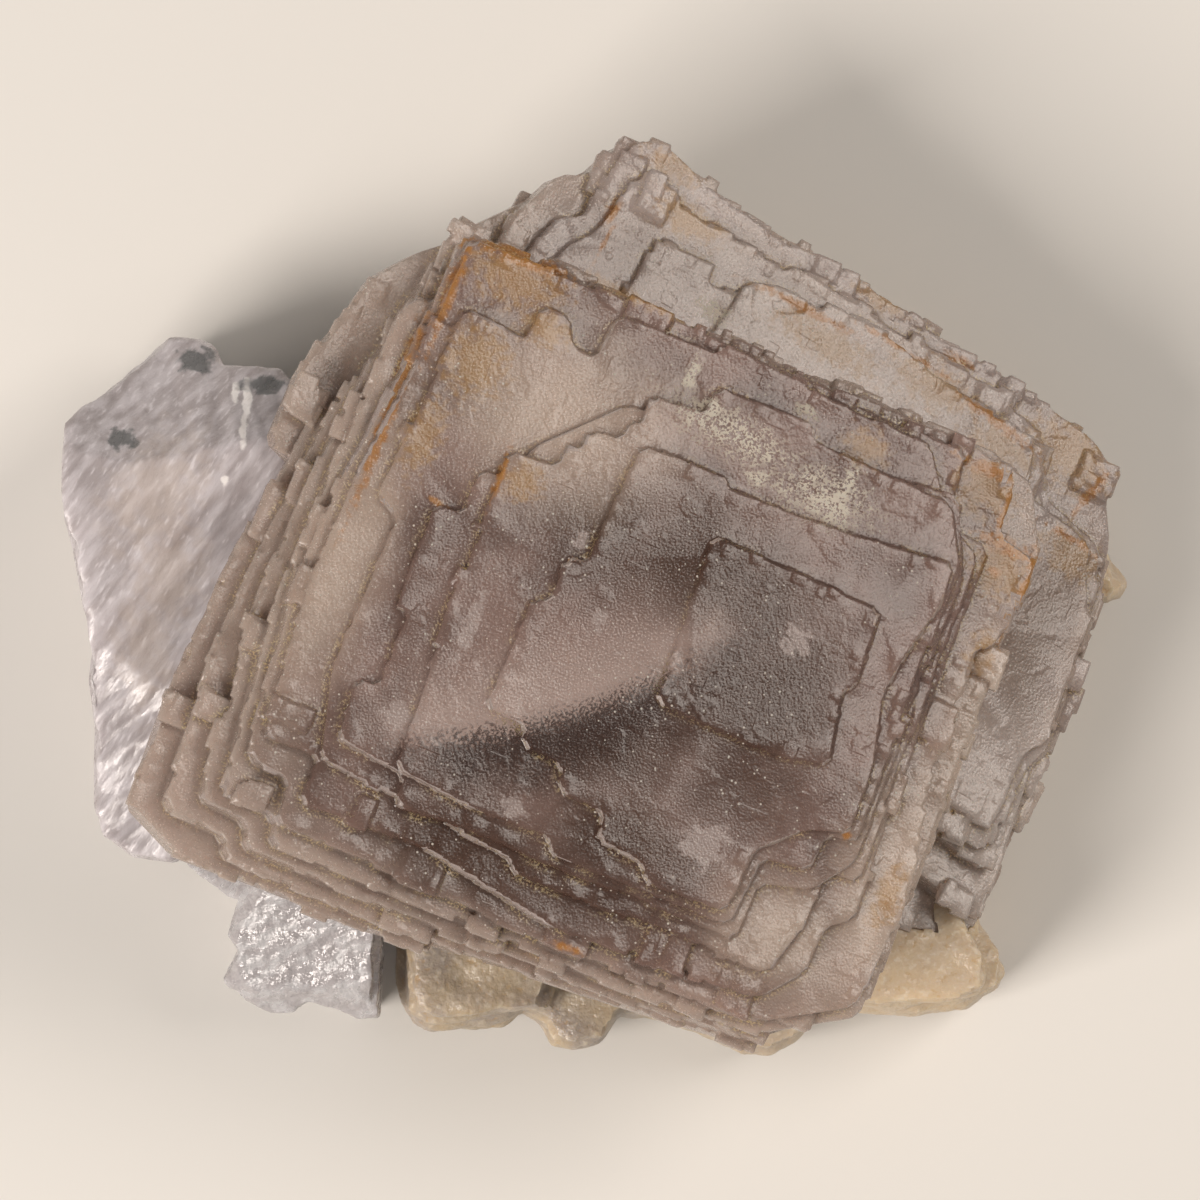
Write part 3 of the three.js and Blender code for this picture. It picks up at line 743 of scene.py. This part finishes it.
def fluorite_finish(name, light, dark, orange, ochre, clay, inside):
    """Frosted fluorite with the iron marks and clay of one cube. `inside` paints its body colour, with painted
    shade and painted light.
    """
    material, tree, shader = new_material(
        name, IOR=FLUORITE_INDEX, Transmission_Weight=0.45,
        Subsurface_Weight=0.4, Subsurface_Radius=(1, 0.86, 0.8), Subsurface_Scale=4 * MM,
    )
    place = add(tree, "Attribute", attribute_name="growth").node.outputs["Vector"]
    parts = add(tree, "SeparateXYZ", {0: place}).node.outputs
    broad = add(tree, "TexNoise", {"Vector": place, "Scale": 0.12, "Detail": 3})
    grain = add(tree, "TexNoise", {"Vector": place, "Scale": 5, "Detail": 2})
    ragged = add(tree, "TexNoise", {"Vector": place, "Scale": 1.5, "Detail": 4})
    ragged = add(tree, "MapRange", {0: ragged, 1: 0.25, 2: 0.75, 3: -0.55, 4: 0.55}, **SOFT)

    clouds = add(tree, "MapRange", {0: broad, 1: 0.35, 2: 0.65}, **SOFT)
    body = add(tree, "MixRGB", {0: clouds, 1: colour(light), 2: colour(dark)})
    # Painted light: the lower tiers are painted paler.
    painted_light_low_tiers = add(tree, "MapRange", {0: parts[2], 1: -1, 2: -3.5, 4: 0.8}, **SOFT)
    body = add(tree, "MixRGB", {0: painted_light_low_tiers, 1: body, 2: colour("#c9b7ab")})
    body = inside(tree, place, grain, ragged, body)
    body = paint(tree, place, ragged, body, "#bb904e", ochre, 0.6, 0.6)
    body = paint(tree, place, ragged, body, "#c08540", orange, 0.6, 0.85)
    body, dusty = corner_shade_and_dust(tree, place, ragged, broad, grain, body, clay)
    tree.links.new(body, shader.inputs["Base Color"])

    low, high = FLUORITE_ROUGHNESS
    gloss = add(tree, "MapRange", {0: grain, 1: 0.3, 2: 0.7, 3: low, 4: high}, **SOFT)
    gloss = add(tree, "Math", {0: dusty, 1: CLAY_ROUGHNESS, 2: gloss}, operation="MULTIPLY_ADD")
    tree.links.new(gloss, shader.inputs["Roughness"])
    height = growth_relief(tree, place, parts, grain)
    bump = add(tree, "Bump", {"Height": height, "Strength": 1, "Distance": MM, "Filter Width": 1.2})
    tree.links.new(bump, shader.inputs["Normal"])
    return material


mirrored = ((FLUORITE_INDEX - 1) / (FLUORITE_INDEX + 1)) ** 2
print("fluorite mirrors", round(100 * mirrored, 1), "% of the light that falls straight on it")

# %% [markdown]
# ## A painted reflection edge
#
# A softbox's reflection on the satin face of the main cube is painted in: a painted highlight on one side
# of its edge and painted shade on the other. Its edge is an arc, so the distance from the arc's centre, as a
# part of its radius, says where a point lies: 1 is on the edge. Grain added to that distance makes the edge
# gritty, as the frosting makes it on the stone.

# %% Painted reflection edge
def painted_reflection_edge(tree, place, calm, grain, body):
    """A painted highlight band inside the circle and a painted shade band outside, with a gritty edge between
    them.
    """
    ring = {"Vector": place, "Location": REFLECTION_EDGE_CENTRE, "Scale": (REFLECTION_EDGE_RADIUS, REFLECTION_EDGE_RADIUS, REFLECTION_EDGE_DEPTH)}
    ring = add(tree, "Mapping", ring, vector_type="TEXTURE")
    ring = add(tree, "VectorMath", {0: ring}, operation="LENGTH")
    grit = add(tree, "MapRange", {0: grain, 1: 0.3, 2: 0.7, 3: -0.02, 4: 0.02}, **SOFT)
    ring = add(tree, "Math", {0: ring, 1: grit}, operation="ADD")
    seen = soft_spots(tree, place, calm, REFLECTION_EDGE_SEEN, 0.45, 1)
    # A painted highlight band, then a painted shade band.
    for code, strength, start, full, fading, end in (
        ("#cab5ac", 0.8, 0.84, 0.98, 0.985, 1.01),
        ("#43302a", 0.85, 0.985, 1.015, 1.02, 1.13),
    ):
        rising = add(tree, "MapRange", {0: ring, 1: start, 2: full, 4: strength}, **SOFT)
        falling = add(tree, "MapRange", {0: ring, 1: end, 2: fading}, **SOFT)
        band = add(tree, "Math", {0: rising, 1: falling}, operation="MULTIPLY")
        band = add(tree, "Math", {0: band, 1: seen}, operation="MULTIPLY")
        body = add(tree, "MixRGB", {0: band, 1: body, 2: colour(code)})
    return body


print("the veil is part of a circle round", REFLECTION_EDGE_CENTRE[:2])

# %% [markdown]
# ## The two finishes
#
# The main cube is a brownish mauve, painted deeper under its summit as body colour and painted shade, and
# paler to the right and along its upper edge as painted light, with a painted reflection edge and pale scars
# on it. The rear cube is colder and paler, with one brown cloud and paler ends that are painted light. Both
# come from the same function, and only their colours, their lists of stains and what is painted on them
# differ.

# %% Finish the crystals
def body_shade_and_light_main(tree, place, grain, ragged, body):
    """Darker body and painted shade under the summit, painted light at the right, the painted reflection, and
    the scars on top.
    """
    calm = add(tree, "TexNoise", {"Vector": place, "Scale": 0.3, "Detail": 3})
    calm = add(tree, "MapRange", {0: calm, 1: 0.25, 2: 0.75, 3: -0.2, 4: 0.2}, **SOFT)
    # Darker body and painted shade, then painted light and a painted highlight.
    body = paint(tree, place, calm, body, "#50372a", DARK_BODY_AND_SHADE_MAIN, 0.9, 0.88)
    body = paint(tree, place, calm, body, "#dac6b6", PALE_AND_LIT_MAIN, 0.9, 0.8)
    body = painted_reflection_edge(tree, place, calm, grain, body)
    return paint(tree, place, ragged, body, "#c3b3ad", SCARS_MAIN, 0.25, 0.6)


def body_and_light_rear(tree, place, grain, ragged, body):
    """A brown cloud at the right of the rear cube, between paler ends that are painted light."""
    calm = add(tree, "TexNoise", {"Vector": place, "Scale": 0.3, "Detail": 3})
    calm = add(tree, "MapRange", {0: calm, 1: 0.25, 2: 0.75, 3: -0.3, 4: 0.3}, **SOFT)
    body = paint(tree, place, calm, body, "#98826f", DEEP_REAR, 0.9, 0.6)
    # Painted light on the paler ends.
    return paint(tree, place, calm, body, "#e0d2c9", PALE_AND_LIT_REAR, 0.9, 0.8)


for finish in (
    fluorite_finish("fluorite_main", "#9b8178", "#7a635b", ORANGE_MAIN, OCHRE_MAIN, CLAY_MAIN, body_shade_and_light_main),
    fluorite_finish("fluorite_rear", "#c4b6b1", "#ad9c94", ORANGE_REAR, OCHRE_REAR, CLAY_REAR, body_and_light_rear),
):
    crystals.data.materials.append(finish)
    print(finish.name, "has", len(finish.node_tree.nodes), "nodes")
crystals.data.polygons.foreach_set("material_index", face_cube)
print("faces of the rear cube:", int(face_cube.sum()))

# %% [markdown]
# ## White calcite
#
# The slab is cleaved calcite, milky with healed cracks. Veils run through it in flowing streaks, and between
# them are small clear windows. Small spots where fresh cleavage faces would flash are painted almost white:
# painted highlights. Calcite bends light more strongly, with indices of 1.49 and 1.66, and one shader can take
# only a value between them. The streaks are a noise that is drawn out along the slab, because a wave pattern
# would run too evenly.

# %% White calcite
CALCITE_INDEX = 1.58
CLEAR_WINDOWS = [(-34, 20.2, 1.6, 0.9), (-28.2, 18, 1.8, 0.6), (-40, 13.5, 1.2, 0.8)]
# Painted highlights: the glints of fresh cleavage faces.
PAINTED_CLEAVE_GLINTS = [
    (-29.6, 16.9, 0.35, 1.5), (-29.8, 14.2, 0.3, 1.2), (-31.4, 10, 0.4, 0.4), (-30.6, 17.2, 0.3, 0.9),
]
BROWN_VEILS = [(-37, 9, 3, 4.5, -25), (-36, 2, 2.4, 4, -15), (-38, -4, 2, 4)]


def millimetres(tree):
    """The object's own coordinates in millimetres."""
    place = tree.nodes.new("ShaderNodeTexCoord").outputs["Object"]
    return add(tree, "Mapping", {"Vector": place, "Scale": (1 / MM, 1 / MM, 1 / MM)})


def streaks(tree, place, scale, detail, stretch, turn):
    """Noise that is stretched along x, y and z, after a turn in degrees."""
    flow = {"Vector": place, "Rotation": (0, 0, math.radians(turn)), "Scale": stretch}
    flow = add(tree, "Mapping", flow, vector_type="TEXTURE")
    return add(tree, "TexNoise", {"Vector": flow, "Scale": scale, "Detail": detail})


white, tree, shader = new_material(
    "white_calcite", IOR=CALCITE_INDEX,
    Subsurface_Weight=0.45, Subsurface_Radius=(1, 0.95, 0.95), Subsurface_Scale=2.5 * MM,
)
place = millimetres(tree)
ragged = add(tree, "TexNoise", {"Vector": place, "Scale": 0.9, "Detail": 4})
ragged = add(tree, "MapRange", {0: ragged, 1: 0.25, 2: 0.75, 3: -0.5, 4: 0.5}, **SOFT)
broad = streaks(tree, place, 0.9, 5, (4.5, 1, 1.5), 52)
fine = streaks(tree, place, 2.6, 4, (3.5, 1, 1.5), 60)
milky = add(tree, "MapRange", {0: broad, 1: 0.35, 2: 0.66}, **SOFT)
body = add(tree, "MixRGB", {0: milky, 1: colour("#a39b9c"), 2: colour("#c3bdc0")})
threads = add(tree, "MapRange", {0: fine, 1: 0.54, 2: 0.72, 4: 0.5}, **SOFT)
body = add(tree, "MixRGB", {0: threads, 1: body, 2: colour("#e2dde1")})
body = paint(tree, place, ragged, body, "#b5a79d", BROWN_VEILS, 0.8, 0.5)
body = paint(tree, place, ragged, body, "#8f9192", CLEAR_WINDOWS, 0.3, 0.75)
# Painted highlights on the cleavage faces.
body = paint(tree, place, ragged, body, "#f6f2f0", PAINTED_CLEAVE_GLINTS, 0.3, 0.85)
tree.links.new(body, shader.inputs["Base Color"])
see_through = soft_spots(tree, place, ragged, CLEAR_WINDOWS, 0.3, 0.5)
tree.links.new(see_through, shader.inputs["Transmission Weight"])
gloss = add(tree, "MapRange", {0: fine, 1: 0.3, 2: 0.7, 3: 0.22, 4: 0.45}, **SOFT)
tree.links.new(gloss, shader.inputs["Roughness"])
height = add(tree, "Math", {0: broad, 1: 0.17}, operation="MULTIPLY")
height = add(tree, "Math", {0: fine, 1: 0.05, 2: height}, operation="MULTIPLY_ADD")
bump = add(tree, "Bump", {"Height": height, "Strength": 1, "Distance": MM, "Filter Width": 1})
tree.links.new(bump, shader.inputs["Normal"])
slab.data.materials.append(white)
print("white calcite has", len(tree.nodes), "nodes")

# %% [markdown]
# ## Clear calcite
#
# The chunk is the same mineral without the milk, freshly broken and glassy. It is see-through: the light is
# bent at its surface and a little of it is absorbed on the way through. Cloudy feathers and small flakes
# inside catch the light. Modelled flakes would hardly show, so noise makes the surface milkier there instead.

# %% Clear calcite
clear, tree, shader = new_material("clear_calcite", IOR=CALCITE_INDEX, Transmission_Weight=0.5)
place = millimetres(tree)
feathers = streaks(tree, place, 0.6, 5, (1, 0.6, 1), 30)
cloudy = add(tree, "MapRange", {0: feathers, 1: 0.4, 2: 0.65}, **SOFT)
body = add(tree, "MixRGB", {0: cloudy, 1: colour("#dcd6d8"), 2: colour("#f4f2f4")})
tree.links.new(body, shader.inputs["Base Color"])
gloss = add(tree, "MapRange", {0: feathers, 1: 0.4, 2: 0.6, 3: 0.06, 4: 0.3}, **SOFT)
tree.links.new(gloss, shader.inputs["Roughness"])
shells = add(tree, "TexNoise", {"Vector": place, "Scale": 1.1, "Detail": 4})
height = add(tree, "Math", {0: shells, 1: 0.3}, operation="MULTIPLY")
flakes = add(tree, "TexNoise", {"Vector": place, "Scale": 4, "Detail": 2})
height = add(tree, "Math", {0: flakes, 1: 0.05, 2: height}, operation="MULTIPLY_ADD")
bump = add(tree, "Bump", {"Height": height, "Strength": 1, "Distance": MM, "Filter Width": 1})
tree.links.new(bump, shader.inputs["Normal"])
volume = add(tree, "VolumeAbsorption", {"Color": colour("#c9c2c2"), "Density": 12})
tree.links.new(volume, tree.nodes["Material Output"].inputs["Volume"])
chunk.data.materials.append(clear)
print("clear calcite has", len(tree.nodes), "nodes")

# %% [markdown]
# ## Honey calcite
#
# The base is waxy, yellowish calcite. Its colour comes from a little iron, in clouds of honey and cream, with
# darker ochre in the cracks, and it is creamier towards the right. It was broken and then etched, so it has a
# soft, uneven sheen. One noise places the clouds and another the cracks, so that they don't follow each other.

# %% Honey calcite
honey, tree, shader = new_material(
    "honey_calcite", IOR=CALCITE_INDEX,
    Subsurface_Weight=0.45, Subsurface_Radius=(1, 0.8, 0.5), Subsurface_Scale=2.5 * MM,
)
place = millimetres(tree)
clouds = add(tree, "TexNoise", {"Vector": place, "Scale": 0.22, "Detail": 4})
clouds = add(tree, "MapRange", {0: clouds, 1: 0.38, 2: 0.62}, **SOFT)
body = add(tree, "MixRGB", {0: clouds, 1: colour("#a1958a"), 2: colour("#b3a28a")})
right = add(tree, "SeparateXYZ", {0: place})
right = add(tree, "MapRange", {0: right, 1: 4, 2: 24, 4: 0.55}, **SOFT)
body = add(tree, "MixRGB", {0: right, 1: body, 2: colour("#d4bd9c")})
fine = add(tree, "TexNoise", {"Vector": place, "Scale": 1.6, "Detail": 4})
pale = add(tree, "MapRange", {0: fine, 1: 0.52, 2: 0.68, 4: 0.55}, **SOFT)
body = add(tree, "MixRGB", {0: pale, 1: body, 2: colour("#d2c6b4")})
cracks = add(tree, "MapRange", {0: fine, 1: 0.4, 2: 0.3, 4: 0.35}, **SOFT)
body = add(tree, "MixRGB", {0: cracks, 1: body, 2: colour("#b08a50")})
tree.links.new(body, shader.inputs["Base Color"])
gloss = add(tree, "MapRange", {0: fine, 1: 0.3, 2: 0.7, 3: 0.3, 4: 0.5}, **SOFT)
tree.links.new(gloss, shader.inputs["Roughness"])
height = add(tree, "Math", {0: fine, 1: 0.2}, operation="MULTIPLY")
etching = add(tree, "TexNoise", {"Vector": place, "Scale": 5, "Detail": 2})
height = add(tree, "Math", {0: etching, 1: 0.03, 2: height}, operation="MULTIPLY_ADD")
bump = add(tree, "Bump", {"Height": height, "Strength": 1, "Distance": MM, "Filter Width": 1})
tree.links.new(bump, shader.inputs["Normal"])
matrix.data.materials.append(honey)
print("honey calcite has", len(tree.nodes), "nodes")

# %% [markdown]
# ## The pieces on the root
#
# Nothing on a mineral moves, so all four pieces ride on the root. Each takes the place of the imported solid
# that it was copied from.

for piece, node, slot in (
    (crystals, "fluorite_crystals", "fluorite"),
    (slab, "calcite_slab", "white_calcite"),
    (chunk, "calcite_chunk", "clear_calcite"),
    (matrix, "honey_matrix", "honey_calcite"),
):
    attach(piece, "root")
    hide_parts(node)
    print(piece.name, "replaces", node)

# %% [markdown]
# ## The floor
#
# The specimen lies on a sheet of matt, warm white paper, whose fibres give it the faintest tooth. A plain pale
# floor leaves the outline easy to read, and throws some light back into the side faces.

# %% Floor
bpy.ops.mesh.primitive_grid_add(x_subdivisions=8, y_subdivisions=8, size=6)
floor = bpy.context.object
floor.name = "pale_sheet"
paper, tree, shader = new_material("pale_sheet", Base_Color=colour("#d9d6d1"), Roughness=0.8)
fibres = add(tree, "TexNoise", {"Scale": 900, "Detail": 2})
bump = add(tree, "Bump", {"Height": fibres, "Strength": 0.05, "Distance": 0.1 * MM})
tree.links.new(bump, shader.inputs["Normal"])
floor.data.materials.append(paper)
print("the floor is", round(floor.dimensions.x), "m wide")

# %% [markdown]
# ## The light
#
# A large softbox from the lower left rakes over the faces, so that each terrace throws a thin shadow to its
# upper right. Light from above would leave the terraces flat, and a small lamp would make the shadows hard. A
# second, weaker softbox from the right shows as a soft sheen on the frosted faces, and opens the shadows.

# %% Lights
LIT_POINT = Vector((0, 0, 0.02))


def softbox(name, place, side, power, tint):
    """A square light at a place in metres, turned to the specimen."""
    data = bpy.data.lights.new(name, "AREA")
    data.shape = "RECTANGLE"
    data.size, data.size_y = side, side
    data.energy = power
    data.color = colour(tint)[:3]
    lamp = bpy.data.objects.new(name, data)
    bpy.context.scene.collection.objects.link(lamp)
    lamp.location = place
    lamp.rotation_euler = (LIT_POINT - lamp.location).to_track_quat("-Z", "Y").to_euler()
    lamp.visible_camera = False


softbox("key_softbox", (-0.68, -0.42, 0.7), 0.5, 10.8, "#fff6ee")
softbox("fill_softbox", (0.66, 0.3, 0.86), 0.5, 6, "#fff5ec")

world = bpy.data.worlds.new("studio")
bpy.context.scene.world = world
world.use_nodes = True
world.node_tree.nodes["Background"].inputs["Color"].default_value = colour("#e6e4e0")
world.node_tree.nodes["Background"].inputs["Strength"].default_value = 0.32
bpy.context.scene.view_settings.view_transform = "Standard"
print("lights:", [lamp.name for lamp in bpy.data.lights])
